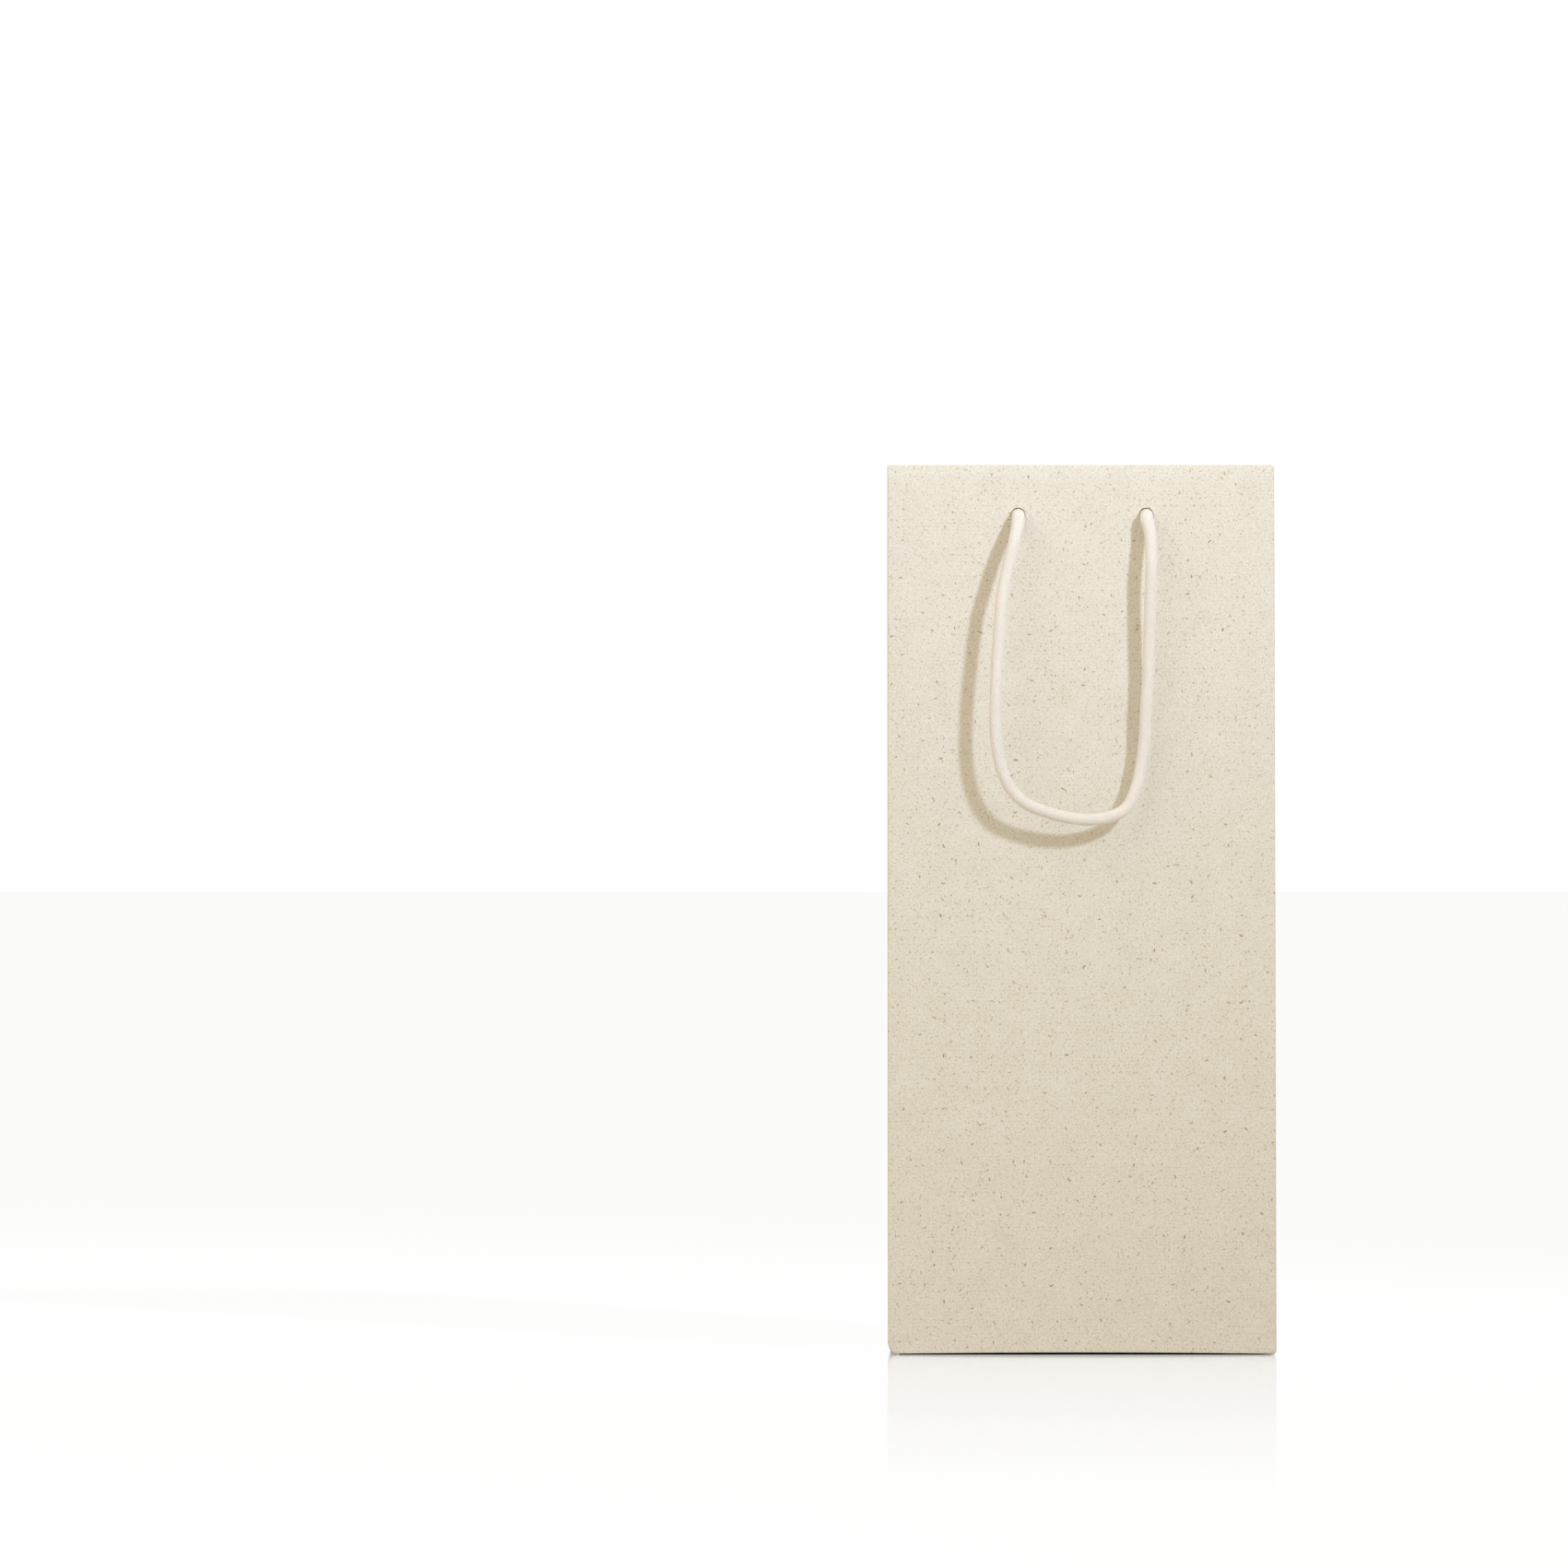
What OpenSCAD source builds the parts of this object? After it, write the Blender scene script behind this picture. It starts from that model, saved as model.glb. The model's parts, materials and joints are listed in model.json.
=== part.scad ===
// Rope-handled paper bag for two bottles, standing open.
// Millimetres. The origin is on the floor under the middle of the bag, +Z up, front face towards -Y.

/* [Bag] */
// Width of the bag across its front
bag_w = 175; // [130:1:240]
// Depth of the bag from front to back
bag_d = 90; // [80:1:130]
// Height of the bag from what it stands on to its rim
bag_h = 402; // [360:1:480]
// Thickness of the paper that the bag is folded from
paper_t = 0.3; // [0.2:0.05:0.5]
// Width of the glue flap inside the rear right corner
seam_w = 16; // [10:1:25]
// Height over which the glue flap steps from the back panel onto the turned-over edge
seam_step = 4; // [2:0.5:8]

/* [Rim] */
// Depth of the turned-over top edge
hem_d = 50; // [45:1:60]
// Height of the stiffener cards inside the turned-over edge
stiffener_h = 40; // [32:1:44]
// Thickness of the stiffener cards
stiffener_t = 0.8; // [0.5:0.1:1.5]
// Distance from the end of a stiffener card to the fold beside it
stiffener_inset = 2; // [1:0.5:10]

/* [Base] */
// Overlap of the front and back bottom flaps, where they are glued
bottom_lap = 20; // [10:1:40]
// Cut-off corners of the front and back bottom flaps
flap_bevel = 12; // [5:1:30]
// Length of the tucked side flaps, which narrow at 45 degrees
side_flap_len = 36; // [20:1:38]
// Thickness of the loose base board
board_t = 1.5; // [1:0.1:3]
// Gap between the base board and the paper round it
board_gap = 1; // [0.5:0.1:3]
// Corner radius of the base board
board_r = 3; // [1:0.5:8]

/* [Handles] */
// Diameter of the braided cord
cord_d = 5.5; // [4:0.1:7]
// Play of the cord in its punched hole, all round
hole_play = 0.55; // [0.2:0.05:1]
// Distance between the two holes of one handle
hole_gap = 58; // [50:1:90]
// Distance from the rim down to the middle of the holes
hole_drop = 22.5; // [15:0.5:26]
// How far the cord stands out of its hole before it bends down
stub_proud = 5.5; // [0.5:0.1:8]
// Gap between the stub of the cord and the loop that swings on it
swing_gap = 0.3; // [0.2:0.05:0.5]
// Diameter of the overhand knot behind each hole
knot_d = 16; // [12:0.5:20]
// Thickness of the knot, measured along the hole
knot_w = 13; // [8:0.5:14]
// Length of the cut end of the cord below its knot
tail_len = 18; // [10:1:25]

/* [Hidden] */

// Route of a handle's cord from the left hole to the right one, as it hangs: how far across from
// the bag's middle, how far out from the line that the loop swings on, and how far below that line
cord_route = [
    [-29, 0, 0], [-29.5, 0.5, 5.5], [-31, 5, 12], [-34, 7.5, 24.5], [-36.5, 10, 37.5],
    [-38, 12, 56], [-39, 13, 70], [-39.5, 13.5, 84], [-39.5, 13.5, 97], [-38, 13, 110],
    [-34, 12.5, 121.5], [-27, 12, 129.5], [-16, 11, 134.5], [-2, 9.5, 137.5], [10, 7.5, 137],
    [19.5, 5, 132.5], [24.5, 2.5, 122.5], [26.5, 1, 113], [28, 0.5, 102], [28.5, 1, 90],
    [29.5, 1.5, 74], [30, 2.5, 56], [30.5, 4, 38], [31, 4.5, 22], [30.5, 1, 9], [29, 0, 0]
];
// Sides of the cord's tube
cord_sides = 10;
// Steps of the dome on each end of the tube, in degrees
dome_step = 25;
// Smoothness of round holes and rods
$fn = 48;
// Overrun of every cut
over = 1;

// Faces of the paper and cards, as distances from the bag's middle
side_in = bag_w / 2 - paper_t;
front_in = bag_d / 2 - paper_t;
card_in = front_in - stiffener_t;
hem_in = card_in - paper_t;
side_hem_in = side_in - paper_t;
seam_in = hem_in - paper_t;

// Heights
wall_top = bag_h - paper_t;
hem_bottom = bag_h - hem_d;
hole_z = bag_h - hole_drop;
flap_lift = paper_t;
tuck_lift = 2 * paper_t;
board_lift = 3 * paper_t;

hole_d = cord_d + 2 * hole_play;
swing_out = bag_d / 2 + stub_proud + swing_gap + cord_d / 2;

paper_colour = "#E3DCCD";
lining_colour = "#D9D1C0";
card_colour = "#B9B3A6";
cord_colour = "#F0EAE2";

// A box given by its lowest and highest corners
module block(low, high) {
    translate(low) cube(high - low);
}

// A strip along X with a profile drawn in Y and Z
module strip_x(from_x, to_x, profile) {
    translate([from_x, 0, 0])
        rotate([90, 0, 90])
            linear_extrude(to_x - from_x) polygon(profile);
}

// Cuts the two holes of a handle through whatever lies on the front side
module handle_holes() {
    difference() {
        children();
        for (side = [-1, 1])
            translate([side * hole_gap / 2, -bag_d / 2 - over, hole_z])
                rotate([-90, 0, 0]) cylinder(d = hole_d, h = bag_d / 2);
    }
}

// Turns a piece of the front half round to the back
module at_back() {
    rotate([0, 0, 180]) children();
}

// One wide wall, drawn as the front one
module wide_wall() {
    handle_holes()
        block([-bag_w / 2, -bag_d / 2, 0], [bag_w / 2, -front_in, wall_top]);
}

module front_panel() {
    color(paper_colour) wide_wall();
}

module back_panel() {
    color(paper_colour) at_back() wide_wall();
}

// Half of a side wall, from a corner to the crease in its middle
module gusset_half(side, from_y, to_y) {
    color(paper_colour)
        block([min(side * side_in, side * bag_w / 2), from_y, 0],
              [max(side * side_in, side * bag_w / 2), to_y, wall_top]);
}

module left_gusset_front() {
    gusset_half(-1, -front_in, 0);
}

module left_gusset_back() {
    gusset_half(-1, 0, front_in);
}

module right_gusset_front() {
    gusset_half(1, -front_in, 0);
}

module right_gusset_back() {
    gusset_half(1, 0, front_in);
}

// Glue flap on the inside of the back panel, stepping in over the turned-over edge
module seam_flap() {
    lining = [
        [front_in, board_lift], [front_in, hem_bottom - seam_step], [hem_in, hem_bottom],
        [hem_in, wall_top], [seam_in, wall_top], [seam_in, hem_bottom],
        [front_in - paper_t, hem_bottom - seam_step], [front_in - paper_t, board_lift]
    ];
    color(lining_colour) strip_x(side_in - seam_w, side_in, lining);
}

// A bottom flap that runs in from a wide wall, drawn from the front wall, with bevelled corners
module wide_flap(lift) {
    reach = bottom_lap / 2;
    translate([0, 0, lift]) linear_extrude(paper_t)
        polygon([
            [-side_in, -front_in], [side_in, -front_in], [side_in, reach - flap_bevel],
            [side_in - flap_bevel, reach], [flap_bevel - side_in, reach],
            [-side_in, reach - flap_bevel]
        ]);
}

module bottom_flap_front() {
    color(paper_colour) wide_flap(flap_lift);
}

module bottom_flap_back() {
    color(paper_colour) at_back() wide_flap(0);
}

// A bottom flap that is tucked in from a side wall and narrows at 45 degrees
module tucked_flap(side) {
    color(lining_colour)
        translate([0, 0, tuck_lift]) linear_extrude(paper_t)
            polygon([
                [side * side_in, -front_in], [side * side_in, front_in],
                [side * (side_in - side_flap_len), front_in - side_flap_len],
                [side * (side_in - side_flap_len), side_flap_len - front_in]
            ]);
}

module bottom_flap_left() {
    tucked_flap(-1);
}

module bottom_flap_right() {
    tucked_flap(1);
}

// Turned-over top edge of a wide wall: it caps the wall and the card and hangs inside them
module wide_hem() {
    turned = [
        [-bag_d / 2, wall_top], [-card_in, wall_top], [-card_in, hem_bottom],
        [-hem_in, hem_bottom], [-hem_in, bag_h], [-bag_d / 2, bag_h]
    ];
    handle_holes() strip_x(-side_in, side_in, turned);
}

module front_hem() {
    color(lining_colour) wide_hem();
}

module back_hem() {
    color(lining_colour) at_back() wide_hem();
}

// Turned-over top edge of a side wall, from the front turn to a face at the back
module side_hem(side, back_y) {
    color(lining_colour)
        translate([0, back_y, 0]) rotate([90, 0, 0]) linear_extrude(back_y + hem_in)
            polygon([
                [side * bag_w / 2, wall_top], [side * side_in, wall_top],
                [side * side_in, hem_bottom], [side * side_hem_in, hem_bottom],
                [side * side_hem_in, bag_h], [side * bag_w / 2, bag_h]
            ]);
}

module left_hem() {
    side_hem(-1, hem_in);
}

module right_hem() {
    side_hem(1, seam_in);
}

// Card strip between a wide wall and its turned-over edge
module stiffener() {
    reach = side_in - stiffener_inset;
    handle_holes()
        block([-reach, -front_in, wall_top - stiffener_h], [reach, -card_in, wall_top]);
}

module front_stiffener() {
    color(card_colour) stiffener();
}

module back_stiffener() {
    color(card_colour) at_back() stiffener();
}

// Rectangle with round corners
module round_rectangle(w, d, r) {
    square([w - 2 * r, d], center = true);
    square([w, d - 2 * r], center = true);
    for (x = [-1, 1], y = [-1, 1])
        translate([x * (w / 2 - r), y * (d / 2 - r)]) circle(r);
}

// Loose card that stiffens the bottom and lifts out
module base_board() {
    board_w = 2 * (side_in - board_gap);
    board_d = 2 * (front_in - paper_t - board_gap);
    color(card_colour) translate([0, 0, board_lift]) linear_extrude(board_t)
        round_rectangle(board_w, board_d, board_r);
}

// Sweep of a round tube along a route, with a ring at each point and a dome on each end
function unit(v) = v / norm(v);
function heading(route, i) =
    unit(route[min(i + 1, len(route) - 1)] - route[max(i - 1, 0)]);
function ring(centre, ahead, r) =
    let (across = unit(cross([0, 1, 0], ahead)), up = cross(ahead, across))
    [for (k = [0:cord_sides - 1])
        centre + r * (across * cos(360 * k / cord_sides) + up * sin(360 * k / cord_sides))];
function dome(end, ahead, r, steps, out) =
    [for (tilt = steps) ring(end + out * r * sin(tilt) * ahead, ahead, r * cos(tilt))];
function tube_rings(route, r) =
    let (last = len(route) - 1)
    concat(
        dome(route[0], heading(route, 0), r, [3 * dome_step, 2 * dome_step, dome_step], -1),
        [for (i = [0:last]) ring(route[i], heading(route, i), r)],
        dome(route[last], heading(route, last), r, [dome_step, 2 * dome_step, 3 * dome_step], 1)
    );

module tube(route, r) {
    rings = tube_rings(route, r);
    n = cord_sides;
    top = (len(rings) - 1) * n;
    polyhedron(
        points = [for (loop = rings) for (p = loop) p],
        faces = concat(
            [for (j = [0:len(rings) - 2]) for (k = [0:n - 1])
                [j * n + k, j * n + (k + 1) % n, (j + 1) * n + k]],
            [for (j = [0:len(rings) - 2]) for (k = [0:n - 1])
                [j * n + (k + 1) % n, (j + 1) * n + (k + 1) % n, (j + 1) * n + k]],
            [for (k = [1:n - 2]) [0, k + 1, k]],
            [for (k = [1:n - 2]) [top, top + k, top + k + 1]]
        )
    );
}

// Loop of cord that hangs outside the front wall
module handle_loop() {
    color(cord_colour)
        tube([for (p = cord_route) [p[0], -swing_out - p[1], hole_z - p[2]]], cord_d / 2);
}

module front_cord() {
    handle_loop();
}

module back_cord() {
    at_back() handle_loop();
}

// Knot on the inside of the front wall, with its stub through the hole and its cut end
module knot(side) {
    shoulder = knot_d / 2 - knot_w / 2;
    color(cord_colour) translate([side * hole_gap / 2, 0, hole_z]) {
        translate([0, knot_w / 2 - hem_in, 0]) rotate([90, 0, 0]) rotate_extrude() {
            translate([shoulder, 0]) intersection() {
                circle(d = knot_w);
                translate([0, -knot_w / 2]) square(knot_w);
            }
            translate([0, -knot_w / 2]) square([shoulder, knot_w]);
        }
        translate([0, -bag_d / 2 - stub_proud, 0])
            rotate([-90, 0, 0])
                cylinder(d = cord_d, h = bag_d / 2 + stub_proud - hem_in + knot_w / 2);
        translate([0, knot_w / 2 - hem_in, -knot_d / 2 - tail_len])
            cylinder(d = cord_d, h = knot_d / 2 + tail_len);
    }
}

module front_left_knot() {
    knot(-1);
}

module front_right_knot() {
    knot(1);
}

module back_left_knot() {
    at_back() knot(1);
}

module back_right_knot() {
    at_back() knot(-1);
}

front_panel();
back_panel();
left_gusset_front();
left_gusset_back();
right_gusset_front();
right_gusset_back();
seam_flap();
bottom_flap_front();
bottom_flap_back();
bottom_flap_left();
bottom_flap_right();
front_hem();
back_hem();
left_hem();
right_hem();
front_stiffener();
back_stiffener();
base_board();
front_cord();
back_cord();
front_left_knot();
front_right_knot();
back_left_knot();
back_right_knot();
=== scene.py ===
"""A two-bottle paper carrier bag with rope handles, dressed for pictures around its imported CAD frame."""
import json
import math

import bmesh
import bpy
import numpy as np
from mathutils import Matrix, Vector


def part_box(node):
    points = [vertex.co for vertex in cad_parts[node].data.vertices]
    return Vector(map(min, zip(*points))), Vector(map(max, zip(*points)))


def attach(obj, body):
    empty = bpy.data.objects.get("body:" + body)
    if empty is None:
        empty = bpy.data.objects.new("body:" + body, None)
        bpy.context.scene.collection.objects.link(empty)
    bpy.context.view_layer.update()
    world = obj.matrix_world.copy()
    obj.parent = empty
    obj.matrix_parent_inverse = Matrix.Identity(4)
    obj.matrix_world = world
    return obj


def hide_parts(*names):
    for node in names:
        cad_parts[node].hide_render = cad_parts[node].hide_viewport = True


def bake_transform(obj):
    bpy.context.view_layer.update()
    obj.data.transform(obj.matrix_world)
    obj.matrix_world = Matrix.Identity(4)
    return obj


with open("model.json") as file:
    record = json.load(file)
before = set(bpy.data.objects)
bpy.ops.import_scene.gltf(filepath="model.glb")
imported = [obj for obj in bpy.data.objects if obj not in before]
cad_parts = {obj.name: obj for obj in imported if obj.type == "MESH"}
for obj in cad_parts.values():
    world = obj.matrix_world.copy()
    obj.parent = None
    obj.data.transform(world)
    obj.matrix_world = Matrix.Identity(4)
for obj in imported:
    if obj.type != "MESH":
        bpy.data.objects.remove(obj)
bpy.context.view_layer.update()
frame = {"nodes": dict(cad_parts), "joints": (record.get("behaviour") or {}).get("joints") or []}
bpy.context.scene.view_settings.view_transform = "Standard"


# Camera
# A level camera looks square at the front wall from far off, as the photograph does, so that no side
# wall shows. The photograph's scale comes from the front wall's width, and its middle is the lens axis.
PHOTO_SIDE_PX = 1701.0
WALL_WIDTH_PX = 420.0
WALL_MIDDLE_X_PX = 1174.0
FLOOR_Y_PX = 1469.4
CAMERA_DISTANCE = 7.0
SENSOR = 36.0

front_low, front_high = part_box("front_panel")
metres_per_px = (front_high.x - front_low.x) / WALL_WIDTH_PX
camera_data = bpy.data.cameras.new("camera")
camera_data.sensor_width = SENSOR
camera_data.lens = SENSOR * CAMERA_DISTANCE / (PHOTO_SIDE_PX * metres_per_px)
camera_data.clip_end = 100.0
camera = bpy.data.objects.new("camera", camera_data)
camera.location = (
    (PHOTO_SIDE_PX / 2 - WALL_MIDDLE_X_PX) * metres_per_px,
    front_low.y - CAMERA_DISTANCE,
    (FLOOR_Y_PX - PHOTO_SIDE_PX / 2) * metres_per_px,
)
camera.rotation_euler = (math.radians(90), 0, 0)
bpy.context.scene.collection.objects.link(camera)
bpy.context.scene.camera = camera


# Cords
# Each handle is one length of braided cotton cord, 5.5 mm thick and limp. It comes out of one punched
# hole, bends straight down, hangs in a slack loop off the wall and goes back in at the other hole.
# The loop is a closed tube whose surface follows the yarns of a two-over-two braid.
MM = 0.001
CORD_D = 5.5 * MM
HOLE_X = 29 * MM
# The route of part.scad in millimetres: across from the middle, out from the line the loop swings on,
# and down
CORD_ROUTE = [
    (-29, 0, 0), (-29.5, 0.5, 5.5), (-31, 5, 12), (-34, 7.5, 24.5), (-36.5, 10, 37.5),
    (-38, 12, 56), (-39, 13, 70), (-39.5, 13.5, 84), (-39.5, 13.5, 97), (-38, 13, 110),
    (-34, 12.5, 121.5), (-27, 12, 129.5), (-16, 11, 134.5), (-2, 9.5, 137.5), (10, 7.5, 137),
    (19.5, 5, 132.5), (24.5, 2.5, 122.5), (26.5, 1, 113), (28, 0.5, 102), (28.5, 1, 90),
    (29.5, 1.5, 74), (30, 2.5, 56), (30.5, 4, 38), (31, 4.5, 22), (30.5, 1, 9), (29, 0, 0),
]
# Ten yarns run round each way and move on by one yarn every 2.2 mm. A yarn is a little wider than its
# share of the way round, so that the yarns touch
YARNS_EACH_WAY = 10
BRAID_REPEAT = 2.2 * MM
YARN_HEIGHT = 0.3 * MM
YARN_WAVE = 0.11 * MM
YARN_HALF_WIDTH = 0.52
SIDES_PER_YARN = 6
LOOSE_YARN_SIDES = 6
SPAN_SAMPLES = 40
RING_STEP = 0.36 * MM
# The cord starts inside the bag, comes straight out of its hole and bends down. There it is squeezed a
# little wider, and it hangs on the hole's rim
STARTS_INSIDE = 1.5 * MM
STRAIGHT_OUT = 1.2 * MM
BEND_R = 7.0 * MM
SQUEEZED_R = 3.05 * MM
SQUEEZED_RUN = 9 * MM
HANGS_LOW = 0.35 * MM

joints = {joint["name"]: joint for joint in frame["joints"]}
swing_line = Vector(joints["front_handle_swing"]["pos_m"])
hem_low, hem_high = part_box("front_hem")


def run_along(path):
    """How far along a path each of its points lies."""
    return np.r_[0, np.cumsum(np.linalg.norm(np.diff(path, axis=0), axis=1))]


def turned_round(path, turn):
    """A path turned about the bag's upright middle line."""
    c, s = math.cos(turn), math.sin(turn)
    return path @ np.array([[c, s, 0], [-s, c, 0], [0, 0, 1]])


def curve_through(points, step):
    """Evenly spaced points on a Catmull-Rom curve through the given ones."""
    p = np.array(points, float)
    p = np.vstack([2 * p[0] - p[1], p, 2 * p[-1] - p[-2]])
    t = np.linspace(0, 1, SPAN_SAMPLES, endpoint=False)[:, None]
    parts = []
    for a, b, c, d in zip(p[:-3], p[1:-2], p[2:-1], p[3:]):
        parts.append(0.5 * (2 * b + (c - a) * t + (2 * a - 5 * b + 4 * c - d) * t**2
                            + (3 * b - a - 3 * c + d) * t**3))
    dense = np.vstack(parts + [p[-2:-1]])
    run = run_along(dense)
    even = np.linspace(0, run[-1], round(run[-1] / step) + 1)
    return np.stack([np.interp(even, run, dense[:, k]) for k in range(3)], axis=1)


def braid_height(around, along):
    """Height of the braid's surface, and the place across and along the yarn that lies on top."""
    one_way = around * YARNS_EACH_WAY + along / BRAID_REPEAT
    other_way = around * YARNS_EACH_WAY - along / BRAID_REPEAT
    index_one, index_other = np.round(one_way), np.round(other_way)
    off_one, off_other = one_way - index_one, other_way - index_other
    # Each yarn passes over two of the others and under the next two
    rise_one = np.cos(math.pi / 2 * (other_way - index_one - 0.5))
    rise_other = -np.cos(math.pi / 2 * (index_other - one_way - 0.5))
    round_one = np.sqrt(np.clip(1 - (off_one / YARN_HALF_WIDTH) ** 2, 0, 1))
    round_other = np.sqrt(np.clip(1 - (off_other / YARN_HALF_WIDTH) ** 2, 0, 1))
    one = YARN_HEIGHT * round_one + YARN_WAVE * rise_one
    other = YARN_HEIGHT * round_other + YARN_WAVE * rise_other
    top = one >= other
    return np.where(top, one, other), np.where(top, off_one, off_other), np.where(top, other_way, one_way)


def rings(path, radii, angles):
    """Points of a tube round a path, ring by ring, that doesn't twist."""
    ahead = np.gradient(path, axis=0)
    ahead /= np.linalg.norm(ahead, axis=1)[:, None]
    side = np.cross(ahead[0], (0.0, 0.0, 1.0))
    if np.linalg.norm(side) < 0.1:
        side = np.cross(ahead[0], (0.0, 1.0, 0.0))
    across = [side / np.linalg.norm(side)]
    for t in ahead[1:]:
        s = across[-1] - t * (across[-1] @ t)
        across.append(s / np.linalg.norm(s))
    across = np.array(across)
    up = np.cross(ahead, across)
    return (path[:, None, :] + (radii * np.cos(angles))[..., None] * across[:, None, :]
            + (radii * np.sin(angles))[..., None] * up[:, None, :]).reshape(-1, 3)


def tube_faces(count, sides, first=0):
    """Faces of a closed tube of rings, its two ends included."""
    row = first + np.arange(count - 1)[:, None] * sides
    k = np.arange(sides)[None, :]
    k_next = (k + 1) % sides
    quads = np.stack([row + k, row + k_next, row + sides + k_next, row + sides + k], axis=-1).reshape(-1, 4)
    ends = [list(range(first, first + sides))[::-1],
            list(range(first + (count - 1) * sides, first + count * sides))]
    return quads.tolist() + ends


def yarn_mesh(name, points, faces, yarn_uv, height):
    """A cotton piece with the place on its yarns as a UV map and the depth of the grooves."""
    mesh = bpy.data.meshes.new(name)
    mesh.from_pydata(points.tolist(), [], faces)
    groove = mesh.attributes.new("groove", "FLOAT", "POINT")
    groove.data.foreach_set("value", height.ravel().astype(np.float32))
    corners = np.zeros(len(mesh.loops), np.int32)
    mesh.loops.foreach_get("vertex_index", corners)
    uv = mesh.uv_layers.new(name="yarn")
    uv.data.foreach_set("uv", yarn_uv[corners].astype(np.float32).ravel())
    bm = bmesh.new()
    bm.from_mesh(mesh)
    bmesh.ops.recalc_face_normals(bm, faces=bm.faces)
    bm.to_mesh(mesh)
    bm.free()
    mesh.shade_smooth()
    piece = bpy.data.objects.new(name, mesh)
    bpy.context.scene.collection.objects.link(piece)
    return piece


def braided_tube(name, path, radius, tassel=()):
    """A length of cord along a path, with the relief of its braid, and loose yarns at its end if given."""
    sides = YARNS_EACH_WAY * SIDES_PER_YARN
    around = np.arange(sides) / sides
    height, off, lengthwise = braid_height(around[None, :], run_along(path)[:, None])
    points = rings(path, radius[:, None] - YARN_HEIGHT - YARN_WAVE + height, 2 * math.pi * around)
    faces = tube_faces(len(path), sides)
    uv = np.stack([off.ravel(), lengthwise.ravel()], axis=1)
    depth = height.ravel() / (YARN_HEIGHT + YARN_WAVE)
    # The hairs' pattern goes once round a loose yarn and a third on at each ring, and it has no grooves
    for yarn, radii in tassel:
        faces += tube_faces(len(yarn), LOOSE_YARN_SIDES, len(points))
        spin = 2 * math.pi * np.arange(LOOSE_YARN_SIDES) / LOOSE_YARN_SIDES
        points = np.vstack([points, rings(yarn, radii[:, None], spin)])
        place = np.broadcast_arrays(spin[None, :] / 6.3, np.arange(len(yarn))[:, None] * 0.3)
        uv = np.vstack([uv, np.stack(place, -1).reshape(-1, 2)])
        depth = np.r_[depth, np.full(len(yarn) * LOOSE_YARN_SIDES, 0.8)]
    return yarn_mesh(name, points, faces, uv, depth)


def loop_points():
    """The front loop's route in metres, from inside one hole to inside the other."""
    through = [hem_high.y + STARTS_INSIDE, hem_high.y, front_low.y]

    def entry(x):
        points = [(x, y, swing_line.z - HANGS_LOW) for y in through]
        for degrees in (0, 15, 30, 45):
            out = STRAIGHT_OUT + BEND_R * math.sin(math.radians(degrees))
            down = HANGS_LOW + BEND_R * (1 - math.cos(math.radians(degrees)))
            points.append((x, front_low.y - out, swing_line.z - down))
        return points

    # The route's two ends are the holes, where the entries take its place
    hanging = [(x * MM, swing_line.y - out * MM, swing_line.z - down * MM)
               for x, out, down in CORD_ROUTE[1:-1]]
    return entry(-HOLE_X) + hanging + entry(HOLE_X)[::-1]


def linear(hex_colour):
    """The linear colour of an sRGB hex value."""
    parts = [int(hex_colour[i:i + 2], 16) / 255 for i in (1, 3, 5)]
    return [p / 12.92 if p <= 0.04045 else ((p + 0.055) / 1.055) ** 2.4 for p in parts] + [1.0]


# A mix of two colours takes them at these inputs of its node and gives them at this output
COLOUR_A, COLOUR_B, MIXED = 6, 7, 2


def add(tree, kind, inputs=None, **settings):
    """Adds a node with its settings. An input is a value, a socket or a node, whose first output it reads."""
    node = tree.nodes.new(kind)
    for key, value in settings.items():
        setattr(node, key, value)
    for name, value in (inputs or {}).items():
        if isinstance(value, bpy.types.Node):
            value = value.outputs[0]
        if isinstance(value, bpy.types.NodeSocket):
            tree.links.new(value, node.inputs[name])
        else:
            node.inputs[name].default_value = value
    return node


def new_material(name):
    """An empty material and its tree."""
    material = bpy.data.materials.new(name)
    material.use_nodes = True
    material.node_tree.nodes.clear()
    return material, material.node_tree


def braided_cotton():
    """Loosely spun, unbleached cotton yarn: dull and soft, whiter than the paper, shaded in its grooves."""
    material, tree = new_material("braided_cotton")
    yarn = add(tree, "ShaderNodeUVMap", uv_map="yarn")
    # Filaments lie along each yarn. Real ones are 0.02 mm thick, so they are drawn coarser, 14 to a yarn
    stretched = add(tree, "ShaderNodeMapping", {"Vector": yarn, "Scale": (14.0, 2.2, 1.0)})
    hairs = add(tree, "ShaderNodeTexNoise", {"Vector": stretched, "Scale": 1.0, "Detail": 3.0})
    # Painted shade: the grooves between the yarns, read from the mesh's groove depth, are coloured darker
    # than the yarns' crowns
    groove = add(tree, "ShaderNodeAttribute", attribute_name="groove")
    depth = add(tree, "ShaderNodeMapRange",
                {"Value": groove.outputs["Fac"], "From Min": 0.1, "From Max": 0.75})
    colour = add(tree, "ShaderNodeMix", {0: depth, COLOUR_A: linear("#D8D0C6"), COLOUR_B: linear("#E9E3DC")},
                 data_type="RGBA")
    bump = add(tree, "ShaderNodeBump", {"Height": hairs, "Strength": 0.4, "Distance": 0.1 * MM})
    # Light soaks a few millimetres into the loose fibres
    shader = add(tree, "ShaderNodeBsdfPrincipled", {
        "Base Color": colour.outputs[MIXED], "Normal": bump, "Roughness": 0.95, "Diffuse Roughness": 1.0,
        "Specular IOR Level": 0.2, "Sheen Weight": 0.3, "Sheen Roughness": 0.6,
        "Subsurface Weight": 1.0, "Subsurface Radius": (1.0, 0.9, 0.8), "Subsurface Scale": 3.5 * MM,
    })
    add(tree, "ShaderNodeOutputMaterial", {0: shader})
    return material


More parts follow.
